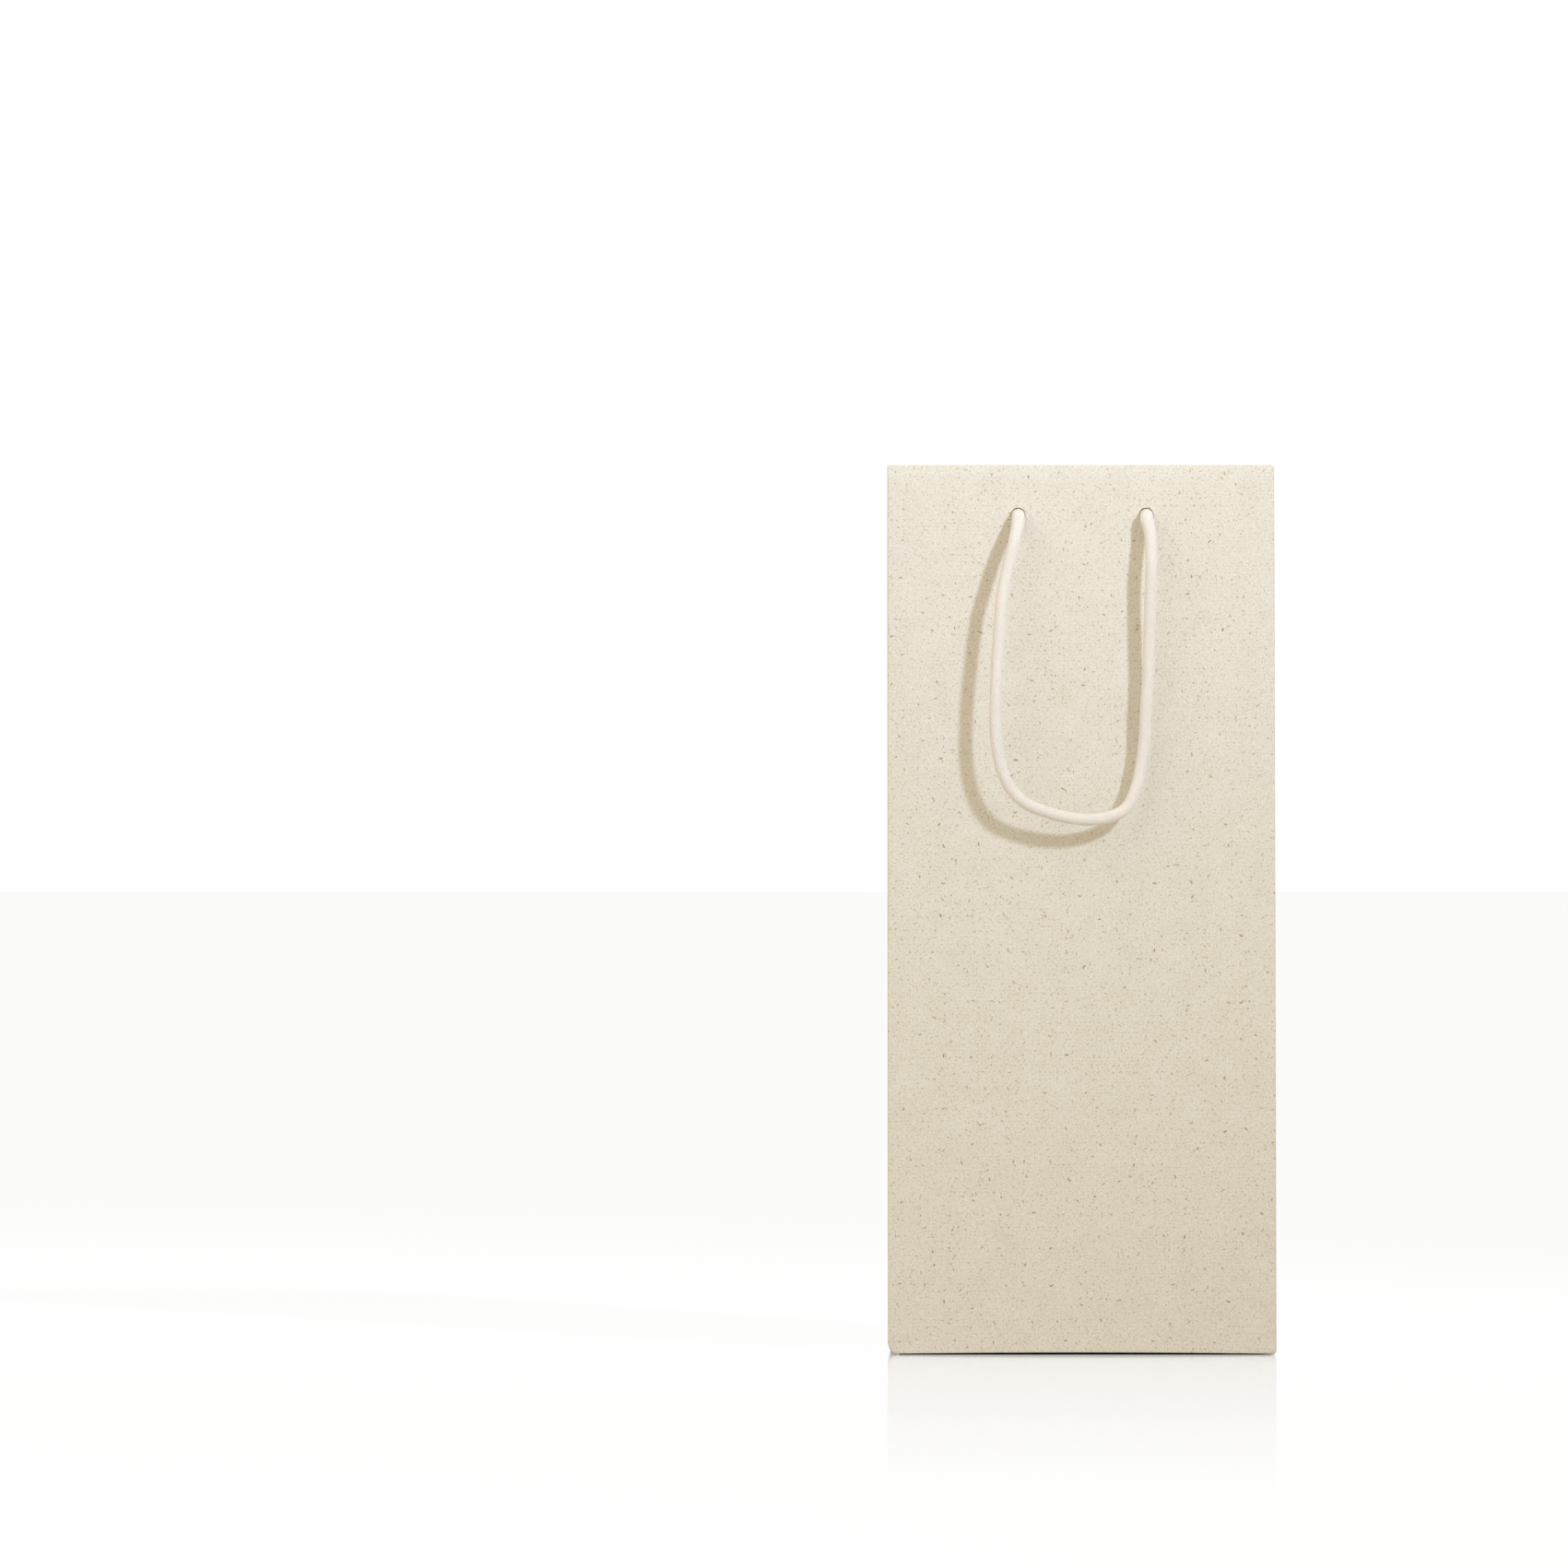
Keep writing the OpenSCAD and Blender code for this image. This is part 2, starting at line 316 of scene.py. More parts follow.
cotton = braided_cotton()
for name, turn in (("front", 0.0), ("back", math.pi)):
    path = turned_round(curve_through(loop_points(), RING_STEP), turn)
    run = run_along(path)
    from_hole = np.minimum(run, run[-1] - run)
    radius = np.interp(from_hole, (0, SQUEEZED_RUN, 2 * SQUEEZED_RUN), (SQUEEZED_R, SQUEEZED_R, CORD_D / 2))
    loop = braided_tube(f"{name}_handle_loop", path, radius)
    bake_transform(loop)
    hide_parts(f"{name}_cord")
    outside = path[np.abs(path[:, 1]) > abs(front_low.y)]
    length = float(round(run_along(outside)[-1], 3))
    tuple(outside[0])
    loop.data.materials.append(cotton)


# Folded sheet
# One sheet of unbleached fibre paper, 0.3 mm thick, makes the walls, the turned-over rim and the
# bottom flaps. It is creased, glued down the rear right corner and punched for the cords, and it
# keeps the soft corners, the drawn-in sides and the shipping crease of a bag that came flat.
WALL_COLUMNS, GUSSET_COLUMNS, WALL_ROWS, FOOT_ROWS, HEM_ROWS = 24, 12, 56, 9, 7
FOLD_R = 0.7 * MM
HOLE_R = 3.3 * MM
FLAP_BEVEL = 12 * MM
TUCK_STRAIGHT = 2 * MM
# The side walls and their creases lie within this of the bag's full width
SIDE_BAND = 7 * MM
LONG_EDGE = 50 * MM
PLAY = 1e-6

left_hem_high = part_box("left_hem")[1]
flap_low, flap_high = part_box("bottom_flap_front")
back_flap_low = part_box("bottom_flap_back")[0]
tuck_low, tuck_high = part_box("bottom_flap_left")
paper_t = front_high.y - front_low.y
half_w, half_d, rim = front_high.x, -front_low.y, hem_high.z
mid_x, mid_y = half_w - paper_t / 2, half_d - paper_t / 2
hem_mid_x, hem_mid_y = -left_hem_high.x + paper_t / 2, -hem_high.y + paper_t / 2


def select(mode, test):
    """Selects, in edit mode, the edges or faces whose lowest and highest corner pass a test."""
    bpy.ops.mesh.select_mode(type=mode)
    bpy.ops.mesh.select_all(action="DESELECT")
    mesh = bpy.context.edit_object.data
    bm = bmesh.from_edit_mesh(mesh)
    for item in {"EDGE": bm.edges, "FACE": bm.faces}[mode]:
        places = np.array([v.co for v in item.verts])
        if test(Vector(places.min(0)), Vector(places.max(0))):
            item.select_set(True)
    bm.select_flush_mode()
    bmesh.update_edit_mesh(mesh)


def extrude(move, scale=(1, 1, 1)):
    """Draws the selected edges out by a move, then scales them about the bag's middle."""
    bpy.ops.mesh.extrude_edges_move(TRANSFORM_OT_translate={"value": move})
    bpy.ops.transform.resize(value=scale, center_override=(0, 0, 0))


def fold_flap(edge, inward, layer, reach, bevel, narrow):
    """Turns a wall's lower edge under and draws it inwards at a layer's height, with a narrower end."""
    select("EDGE", edge)
    r = FOLD_R - layer
    turn = [math.radians(a) for a in (0, 30, 60, 90)]
    for a, b in zip(turn, turn[1:]):
        step = r * (math.cos(a) - math.cos(b))
        extrude((inward[0] * step, inward[1] * step, r * (math.sin(a) - math.sin(b))))
    straight = reach - bevel - r
    extrude((inward[0] * straight, inward[1] * straight, 0))
    extrude((inward[0] * bevel, inward[1] * bevel, 0))
    bpy.ops.transform.resize(value=narrow, center_override=(0, 0, 0))


bpy.ops.object.select_all(action="DESELECT")
bpy.ops.mesh.primitive_cube_add(size=1)
sheet = bpy.context.object
sheet.name = "folded_sheet"
roll_r = (mid_y - hem_mid_y) / 2
roll_z = rim - paper_t / 2 - roll_r
sheet.scale = (2 * mid_x, 2 * mid_y, roll_z - FOLD_R)
sheet.location = (0, 0, (roll_z + FOLD_R) / 2)
bpy.ops.object.transform_apply(location=True, rotation=True, scale=True)
bpy.ops.object.mode_set(mode="EDIT")

# The box is opened at top and bottom, its corners are folded softly, and its walls are cut into rows
select("FACE", lambda low, high: high.z - low.z < PLAY)
bpy.ops.mesh.delete(type="ONLY_FACE")
select("EDGE", lambda low, high: high.z - low.z > MM)
bpy.ops.mesh.bevel(offset=FOLD_R, segments=4, affect="EDGES")
select("EDGE", lambda low, high: high.x - low.x > LONG_EDGE)
bpy.ops.mesh.subdivide(number_cuts=WALL_COLUMNS - 1)
select("EDGE", lambda low, high: high.y - low.y > LONG_EDGE)
bpy.ops.mesh.subdivide(number_cuts=GUSSET_COLUMNS - 1)
select("EDGE", lambda low, high: high.z - low.z > LONG_EDGE)
bpy.ops.mesh.subdivide(number_cuts=WALL_ROWS - 1)
select("EDGE", lambda low, high: low.z < FOLD_R + PLAY and high.z - low.z > MM)
bpy.ops.mesh.subdivide(number_cuts=FOOT_ROWS - 1)

# The rim rolls over the stiffener card and comes down inside it
select("EDGE", lambda low, high: low.z > roll_z - PLAY)
turn = [math.radians(a) for a in (0, 45, 90, 135, 180)]
reach_x, reach_y = mid_x, mid_y
for a, b in zip(turn, turn[1:]):
    new_x = mid_x - (mid_x - hem_mid_x) * (1 - math.cos(b)) / 2
    new_y = mid_y - (mid_y - hem_mid_y) * (1 - math.cos(b)) / 2
    extrude((0, 0, roll_r * (math.sin(b) - math.sin(a))), (new_x / reach_x, new_y / reach_y, 1))
    reach_x, reach_y = new_x, new_y
for row in range(HEM_ROWS):
    extrude((0, 0, (hem_low.z - roll_z) / HEM_ROWS))

# The bottom flaps turn under: the back one lies outside, then the front one, and the side ones inside
lowest = FOLD_R + PLAY
front_layer = (flap_low.z + flap_high.z) / 2
front_reach = flap_high.y + mid_y
back_reach = mid_y - back_flap_low.y
wide_end = ((mid_x - FLAP_BEVEL) / mid_x, 1, 1)
fold_flap(lambda low, high: high.z < lowest and high.y < -mid_y + PLAY,
          (0, 1), front_layer, front_reach, FLAP_BEVEL, wide_end)
fold_flap(lambda low, high: high.z < lowest and low.y > mid_y - PLAY,
          (0, -1), paper_t / 2, back_reach, FLAP_BEVEL, wide_end)
tuck_layer = (tuck_low.z + tuck_high.z) / 2
tuck_reach = tuck_high.x + mid_x
tuck_end = (1, (mid_y - tuck_reach) / mid_y, 1)
fold_flap(lambda low, high: high.z < lowest and high.x < -mid_x + PLAY,
          (1, 0), tuck_layer, tuck_reach, tuck_reach - TUCK_STRAIGHT, tuck_end)
fold_flap(lambda low, high: high.z < lowest and low.x > mid_x - PLAY,
          (-1, 0), tuck_layer, tuck_reach, tuck_reach - TUCK_STRAIGHT, tuck_end)

# The rounded corners close over the flaps' ends in two steps, each down by a share of the fold and in
for x, y in ((-1, -1), (-1, 1), (1, -1), (1, 1)):
    corner = (x * (mid_x - FOLD_R), y * (mid_y - FOLD_R), 0)
    select("EDGE", lambda low, high: high.z < lowest and high.z > lowest - 2 * PLAY
           and min(x * low.x, x * high.x) > mid_x - FOLD_R - PLAY
           and min(y * low.y, y * high.y) > mid_y - FOLD_R - PLAY)
    for down, narrow in ((0.55, 0.9), (0.32, 0.6)):
        bpy.ops.mesh.extrude_edges_move(TRANSFORM_OT_translate={"value": (0, 0, -down * FOLD_R)})
        bpy.ops.transform.resize(value=(narrow, narrow, 1), center_override=corner)
bpy.ops.mesh.select_mode(type="FACE")
bpy.ops.mesh.select_all(action="SELECT")
bpy.ops.mesh.normals_make_consistent(inside=False)
bpy.ops.object.mode_set(mode="OBJECT")


def ease(value, low, high):
    """Rises smoothly from 0 at low to 1 at high."""
    t = np.clip((value - low) / (high - low), 0, 1)
    return t * t * (3 - 2 * t)


# How far the handled paper strays from its flat panels, in millimetres
LEAN, SPREAD, ASKEW = 0.67, 0.33, 0.3
SOFT_RIM = ((-1, 0.8), (1, 1.3))
ROUND_FOOT = ((-1, 4.2, 6.0), (1, 1.5, 2.6))
FOOT_ARCH = 0.6
DRAWN_IN, MOUTH_DRAWN_IN, BOARD_RISES_TO = 0.5, 4.6, 343
BOW, BROAD_WAVE, NARROW_WAVE = 0.30, 0.18, 0.10
SHIPPING_CREASE_Z, SHIPPING_CREASE = 47, 0.35


def settle(points):
    """Moves the sheet's points, in millimetres, to where the creased and handled paper lies."""
    x, y, z = points.T.copy()
    w, d, h = mid_x / MM, mid_y / MM, rim / MM
    # The bag leans a little to the left, spreads a little towards its foot and stands a little askew
    x = x - LEAN * z / h + SPREAD * (1 - z / h) * x / w + ASKEW * (y / d + 1)
    # The corners of the rim are soft, the right ones more
    for sign, soft in SOFT_RIM:
        past = np.clip((z - h + soft) / soft, 0, 1)
        x = x - sign * soft * (1 - np.sqrt(1 - past**2)) * ease(sign * x, w - 10, w - 1)
    # The side folds round off where they meet the floor, the left one more
    for sign, inset, rise in ROUND_FOOT:
        arc = inset * (1 - np.sqrt(1 - (1 - np.clip(z / rise, 0, 1)) ** 2))
        x = x - sign * arc * ease(sign * x, w - 14, w - 1)
    # The wide walls' lower folds arch a little off the floor between the corners
    arch = FOOT_ARCH * np.clip(1 - (x / w) ** 2, 0, 1)
    z = z + arch * ease(np.abs(y), d - 14, d) * (1 - ease(z, 0, 30))
    # The side walls draw in along their middle crease, most at the mouth, above the base board's way up
    drawn = DRAWN_IN * ease(z, d, 190) + MOUTH_DRAWN_IN * ease(z, BOARD_RISES_TO, h)
    x = x - np.sign(x) * drawn * (1 - np.abs(y) / d) * (np.abs(x) > w - 4)
    # The wide walls bow by a fraction of a millimetre between the base and the stiffened rim
    free = ease(z, 2, 60) * (1 - ease(z, 300, 350)) * np.clip(1 - (x / w) ** 2, 0, 1)
    wave = BOW + BROAD_WAVE * np.sin(x / 31 + 0.7) * np.sin(z / 57) + NARROW_WAVE * np.sin(x / 17 - z / 41)
    y = y + np.sign(y) * free * wave * (np.abs(y) > d - 2)
    # The back keeps the crease along which the bottom was folded up for shipping
    crease = SHIPPING_CREASE * np.exp(-((z - SHIPPING_CREASE_Z) / 2.5) ** 2) * ease(w - np.abs(x), 0, 3)
    y = y - crease * (y > d - 2)
    return np.stack([x, y, z], axis=1)


def lay(piece, places):
    """Puts a piece's points, given in metres on the flat panels, where the settled paper lies."""
    piece.data.vertices.foreach_set("co", (settle(places / MM) * MM).astype(np.float32).ravel())


def apply(piece, kind, **settings):
    """Adds a modifier with its settings and applies it."""
    modifier = piece.modifiers.new(kind.lower(), kind)
    for key, value in settings.items():
        setattr(modifier, key, value)
    bpy.context.view_layer.objects.active = piece
    bpy.ops.object.modifier_apply(modifier=modifier.name)


lay(sheet, np.array([v.co for v in sheet.data.vertices]))
apply(sheet, "SOLIDIFY", thickness=paper_t, offset=0)
for x in (-HOLE_X, HOLE_X):
    bpy.ops.mesh.primitive_cylinder_add(vertices=48, radius=HOLE_R, depth=2.4 * half_d,
                                        location=(x, 0, swing_line.z), rotation=(math.radians(90), 0, 0))
    punch = bpy.context.object
    apply(sheet, "BOOLEAN", object=punch, operation="DIFFERENCE", solver="EXACT")
    bpy.data.objects.remove(punch)


def finish_sheet(piece):
    """Smooths the folds and lays the paper's pattern flat on every face, in metres."""
    bpy.ops.object.select_all(action="DESELECT")
    piece.select_set(True)
    bpy.context.view_layer.objects.active = piece
    bpy.ops.object.shade_smooth_by_angle(angle=math.radians(40))
    mesh = piece.data
    # The side walls' middle crease stays sharp
    for edge in mesh.edges:
        ends = [mesh.vertices[k].co for k in edge.vertices]
        if all(abs(end.y) < 0.05 * MM and abs(end.x) > half_w - SIDE_BAND for end in ends):
            edge.use_edge_sharp = True
    for old in list(mesh.uv_layers):
        mesh.uv_layers.remove(old)
    uv = mesh.uv_layers.new(name="sheet")
    # Each side of the sheet shows a stretch of the pattern of its own
    for face in mesh.polygons:
        n = face.normal
        axis = max(range(3), key=lambda k: abs(n[k]))
        a, b = {0: (1, 2), 1: (0, 2), 2: (0, 1)}[axis]
        shift = (0.9 * axis + (0.4 if n[axis] > 0 else 0.0), 0.7 * (n[axis] > 0))
        for corner in face.loop_indices:
            co = mesh.vertices[mesh.loops[corner].vertex_index].co
            uv.data[corner].uv = (co[a] + shift[0], co[b] + shift[1])


def flecks(tree, place, cell, length, width, share, bend, seed):
    """Short fibres lying at random in a sheet, one to a cell at most: their mask and a random value each."""
    spot = add(tree, "ShaderNodeVectorMath", {0: place, 1: (1 / cell,) * 3, 2: (seed * 7.3, seed * 3.1, 0)},
               operation="MULTIPLY_ADD")
    cells = add(tree, "ShaderNodeTexVoronoi", {"Vector": spot, "Scale": 1.0, "Randomness": 1.0},
                voronoi_dimensions="2D")
    dice = add(tree, "ShaderNodeTexWhiteNoise", {"Vector": cells.outputs["Position"]}, noise_dimensions="2D")
    thrown = add(tree, "ShaderNodeSeparateColor", {0: dice.outputs["Color"]})
    rolled = add(tree, "ShaderNodeSeparateColor", {0: cells.outputs["Color"]})
    # Each fibre is turned at random about its cell's point
    away = add(tree, "ShaderNodeVectorMath", {0: spot, 1: cells.outputs["Position"]}, operation="SUBTRACT")
    angle = add(tree, "ShaderNodeMath", {0: dice.outputs["Value"], 1: 2 * math.pi}, operation="MULTIPLY")
    turned = add(tree, "ShaderNodeVectorRotate", {"Vector": away, "Angle": angle}, rotation_type="Z_AXIS")
    sized = add(tree, "ShaderNodeVectorMath", {0: turned, 1: (cell,) * 3}, operation="MULTIPLY")
    xy = add(tree, "ShaderNodeSeparateXYZ", {0: sized})
    # It curls a little to one side
    x_squared = add(tree, "ShaderNodeMath", {0: xy.outputs[0], 1: 2.0}, operation="POWER")
    lean = add(tree, "ShaderNodeMath", {0: rolled.outputs[2], 1: 0.5}, operation="SUBTRACT")
    curl = add(tree, "ShaderNodeMath", {0: lean, 1: 2 * bend / length}, operation="MULTIPLY")
    y = add(tree, "ShaderNodeMath", {0: x_squared, 1: curl, 2: xy.outputs[1]}, operation="MULTIPLY_ADD")
    # Its mask falls off with the distance from a line of its own length
    half = add(tree, "ShaderNodeMath", {0: rolled.outputs[0], 1: 0.4 * length, 2: 0.05 * length},
               operation="MULTIPLY_ADD")
    along = add(tree, "ShaderNodeMath", {0: xy.outputs[0]}, operation="ABSOLUTE")
    beyond = add(tree, "ShaderNodeMath", {0: along, 1: half}, operation="SUBTRACT")
    past = add(tree, "ShaderNodeMath", {0: beyond, 1: 0.0}, operation="MAXIMUM")
    offset = add(tree, "ShaderNodeCombineXYZ", {0: past, 1: y})
    distance = add(tree, "ShaderNodeVectorMath", {0: offset}, operation="LENGTH")
    thick = add(tree, "ShaderNodeMath", {0: thrown.outputs[1], 1: 0.4 * width, 2: 0.55 * width},
                operation="MULTIPLY_ADD")
    edge = add(tree, "ShaderNodeMapRange",
               {"Value": distance.outputs["Value"], "From Min": thick, "From Max": 0.0},
               interpolation_type="SMOOTHSTEP")
    there = add(tree, "ShaderNodeMath", {0: rolled.outputs[1], 1: share}, operation="LESS_THAN")
    faint = add(tree, "ShaderNodeMath", {0: thrown.outputs[2], 1: 0.65, 2: 0.35}, operation="MULTIPLY_ADD")
    shown = add(tree, "ShaderNodeMath", {0: edge, 1: there}, operation="MULTIPLY")
    return add(tree, "ShaderNodeMath", {0: shown, 1: faint}, operation="MULTIPLY"), thrown.outputs[0]


def side_folds(tree, pulp):
    """The side walls' folds, down their middle and along the triangle under it: where, and how worn."""
    inside = add(tree, "ShaderNodeTexCoord")
    spot = add(tree, "ShaderNodeVectorMath", {0: inside.outputs["Object"]}, operation="ABSOLUTE")
    at = add(tree, "ShaderNodeSeparateXYZ", {0: spot})
    # The triangle's sides run at 45 degrees, and the middle crease stops at its tip
    reach = add(tree, "ShaderNodeMath", {0: at.outputs[1], 1: at.outputs[2]}, operation="ADD")
    over = add(tree, "ShaderNodeMath", {0: reach, 1: half_d}, operation="SUBTRACT")
    under = add(tree, "ShaderNodeMath", {0: over, 1: 0.0}, operation="LESS_THAN")
    middle = add(tree, "ShaderNodeMath", {0: at.outputs[1], 1: under}, operation="ADD")
    over = add(tree, "ShaderNodeMath", {0: over}, operation="ABSOLUTE")
    slant = add(tree, "ShaderNodeMath", {0: over, 1: math.sqrt(0.5)}, operation="MULTIPLY")
    nearest = add(tree, "ShaderNodeMath", {0: middle, 1: slant}, operation="MINIMUM")
    line = add(tree, "ShaderNodeMapRange", {"Value": nearest, "From Min": 0.8 * MM, "From Max": 0.1 * MM},
               interpolation_type="SMOOTHSTEP")
    sides = add(tree, "ShaderNodeMath", {0: at.outputs[0], 1: half_w - SIDE_BAND},
                operation="GREATER_THAN")
    fold = add(tree, "ShaderNodeMath", {0: line, 1: sides}, operation="MULTIPLY")
    rubbed = add(tree, "ShaderNodeMapRange", {"Value": pulp, "From Min": 0.35, "From Max": 0.65,
                                              "To Min": 0.25, "To Max": 0.75})
    worn = add(tree, "ShaderNodeMath", {0: fold, 1: rubbed}, operation="MULTIPLY")
    return fold, worn


def fibre_paper():
    """Unbleached paper of grass and waste fibre, calendered but not coated: dull, cream, full of flecks."""
    material, tree = new_material("uncoated_fibre_paper")
    metres = add(tree, "ShaderNodeUVMap", uv_map="sheet")
    place = add(tree, "ShaderNodeVectorMath", {0: metres, 1: (1 / MM,) * 3}, operation="MULTIPLY")
    # Pulp is cloudy over 14 mm, tinted over 2 mm and grainy from 1 mm down
    cloud = add(tree, "ShaderNodeTexNoise", {"Vector": place, "Scale": 0.07, "Detail": 3.0, "Roughness": 0.6},
                noise_dimensions="2D")
    pulp = add(tree, "ShaderNodeTexNoise", {"Vector": place, "Scale": 1.0, "Detail": 3.0, "Roughness": 0.8},
               noise_dimensions="2D")
    tint = add(tree, "ShaderNodeTexNoise", {"Vector": place, "Scale": 0.45, "Detail": 2.0, "Roughness": 0.7},
               noise_dimensions="2D")
    tone = add(tree, "ShaderNodeMix", {0: 0.85, 2: cloud, 3: pulp})
    level = add(tree, "ShaderNodeMapRange", {"Value": tone, "From Min": 0.35, "From Max": 0.65})
    hue = add(tree, "ShaderNodeMapRange", {"Value": tint, "From Min": 0.35, "From Max": 0.65})
    pale = add(tree, "ShaderNodeMix", {0: hue, COLOUR_A: linear("#EEE8DC"), COLOUR_B: linear("#EDE8DE")},
               data_type="RGBA")
    deep = add(tree, "ShaderNodeMix", {0: hue, COLOUR_A: linear("#DDD4C2"), COLOUR_B: linear("#DCD4C5")},
               data_type="RGBA")
    colour = add(tree, "ShaderNodeMix",
                 {0: level, COLOUR_A: deep.outputs[MIXED], COLOUR_B: pale.outputs[MIXED]}, data_type="RGBA")
    # The fibres' outlines are ragged by 0.4 mm
    ragged = add(tree, "ShaderNodeTexNoise", {"Vector": place, "Scale": 0.9, "Detail": 1.0},
                 noise_dimensions="2D")
    fibre_place = add(tree, "ShaderNodeVectorMath", {0: ragged.outputs["Color"], 1: (0.4,) * 3, 2: place},
                      operation="MULTIPLY_ADD")
    # Cell, length and width in mm, share of cells, curl, strength and the fibres' colours. Real fibres
    # are 0.1 to 0.4 mm wide, and the fine ones are drawn wider and paler, as wide as they need to show
    layers = (
        (0.9, 0.48, 0.36, 0.38, 0.0, 0.42, ("#BC9A44", "#C8A24C", "#AC944A", "#D0A850")),
        (1.6, 0.65, 0.44, 0.44, 0.2, 0.58, ("#B0882E", "#A08A40", "#C2902C", "#98823C")),
        (3.2, 0.95, 0.52, 0.40, 0.3, 0.72, ("#9A7028", "#8E7236", "#B88022", "#8A6C2E")),
        (8.0, 1.40, 0.64, 0.50, 0.4, 0.90, ("#8C6024", "#80602E", "#AA6E18", "#725428")),
        (26.0, 3.2, 0.56, 0.50, 0.6, 0.85, ("#A87830", "#C0842C", "#947A40", "#A88640")),
        (3.0, 1.2, 0.36, 0.11, 0.3, 0.45, ("#F8F3E6", "#F4EDDC", "#F9F4E9", "#F2EAD6")),
    )
    for seed, (cell, length, width, share, bend, strength, colours) in enumerate(layers):
        mask, pick = flecks(tree, fibre_place, cell, length, width, share, bend, seed + 1)
        ramp = add(tree, "ShaderNodeValToRGB", {0: pick})
        ramp.color_ramp.interpolation = "CONSTANT"
        while len(ramp.color_ramp.elements) < len(colours):
            ramp.color_ramp.elements.new(0.5)
        for k, (element, hex_colour) in enumerate(zip(ramp.color_ramp.elements, colours)):
            element.position = k / len(colours)
            element.color = linear(hex_colour)
        amount = add(tree, "ShaderNodeMath", {0: mask, 1: strength}, operation="MULTIPLY")
        colour = add(tree, "ShaderNodeMix", {0: amount, COLOUR_A: colour.outputs[MIXED], COLOUR_B: ramp},
                     data_type="RGBA")
    # Handling rubs the side walls' folds pale, and they are pressed in
    fold, worn = side_folds(tree, pulp)
    colour = add(tree, "ShaderNodeMix",
                 {0: worn, COLOUR_A: colour.outputs[MIXED], COLOUR_B: linear("#F6F2E9")}, data_type="RGBA")
    pressed = add(tree, "ShaderNodeBump", {"Height": fold, "Strength": 0.7, "Distance": 0.3 * MM},
                  invert=True)
    bump = add(tree, "ShaderNodeBump", {"Height": pulp, "Strength": 0.15, "Distance": 0.1 * MM,
                                        "Normal": pressed})
    shader = add(tree, "ShaderNodeBsdfPrincipled", {
        "Base Color": colour.outputs[MIXED], "Normal": bump, "Roughness": 0.82, "IOR": 1.5,
        "Specular IOR Level": 0.3,
    })
    add(tree, "ShaderNodeOutputMaterial", {0: shader})
    return material


paper = fibre_paper()
finish_sheet(sheet)
sheet.data.materials.clear()
sheet.data.materials.append(paper)
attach(sheet, "bag")
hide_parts("front_panel", "back_panel", "left_gusset_front", "left_gusset_back",
            "right_gusset_front", "right_gusset_back", "front_hem", "back_hem", "left_hem",
            "right_hem", "bottom_flap_front", "bottom_flap_back", "bottom_flap_left", "bottom_flap_right")


# Glue flap
# The sheet's own side edge, 16 mm wide, glued inside the back wall at the right corner. It is turned
# over with the rim, so it steps in over the turned-over edge near the top.
SEAM_STEP = 4 * MM
SEAM_ROWS, SEAM_COLUMNS = 60, 4

seam_low, seam_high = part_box("seam_flap")

bpy.ops.object.select_all(action="DESELECT")
bpy.ops.mesh.primitive_plane_add(size=1, rotation=(math.radians(-90), 0, 0))
seam = bpy.context.object
seam.name = "glue_flap"
seam.scale = (seam_high.x - seam_low.x, seam_high.z - seam_low.z, 1)
seam.location = ((seam_low.x + seam_high.x) / 2, seam_high.y - paper_t / 2, (seam_low.z + seam_high.z) / 2)
bpy.ops.object.transform_apply(location=True, rotation=True, scale=True)
bpy.ops.object.mode_set(mode="EDIT")
select("EDGE", lambda low, high: high.z - low.z > LONG_EDGE)
bpy.ops.mesh.subdivide(number_cuts=SEAM_ROWS - 1)
select("EDGE", lambda low, high: high.x - low.x > PLAY)
bpy.ops.mesh.subdivide(number_cuts=SEAM_COLUMNS - 1)
bpy.ops.object.mode_set(mode="OBJECT")
places = np.array([v.co for v in seam.data.vertices])
stepped = ease(places[:, 2], hem_low.z - SEAM_STEP, hem_low.z)
places[:, 1] -= stepped * (seam_high.y - seam_low.y - paper_t)
lay(seam, places)
apply(seam, "SOLIDIFY", thickness=paper_t, offset=0)
finish_sheet(seam)
seam.data.materials.clear()
seam.data.materials.append(paper)
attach(seam, "bag")
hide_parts("seam_flap")


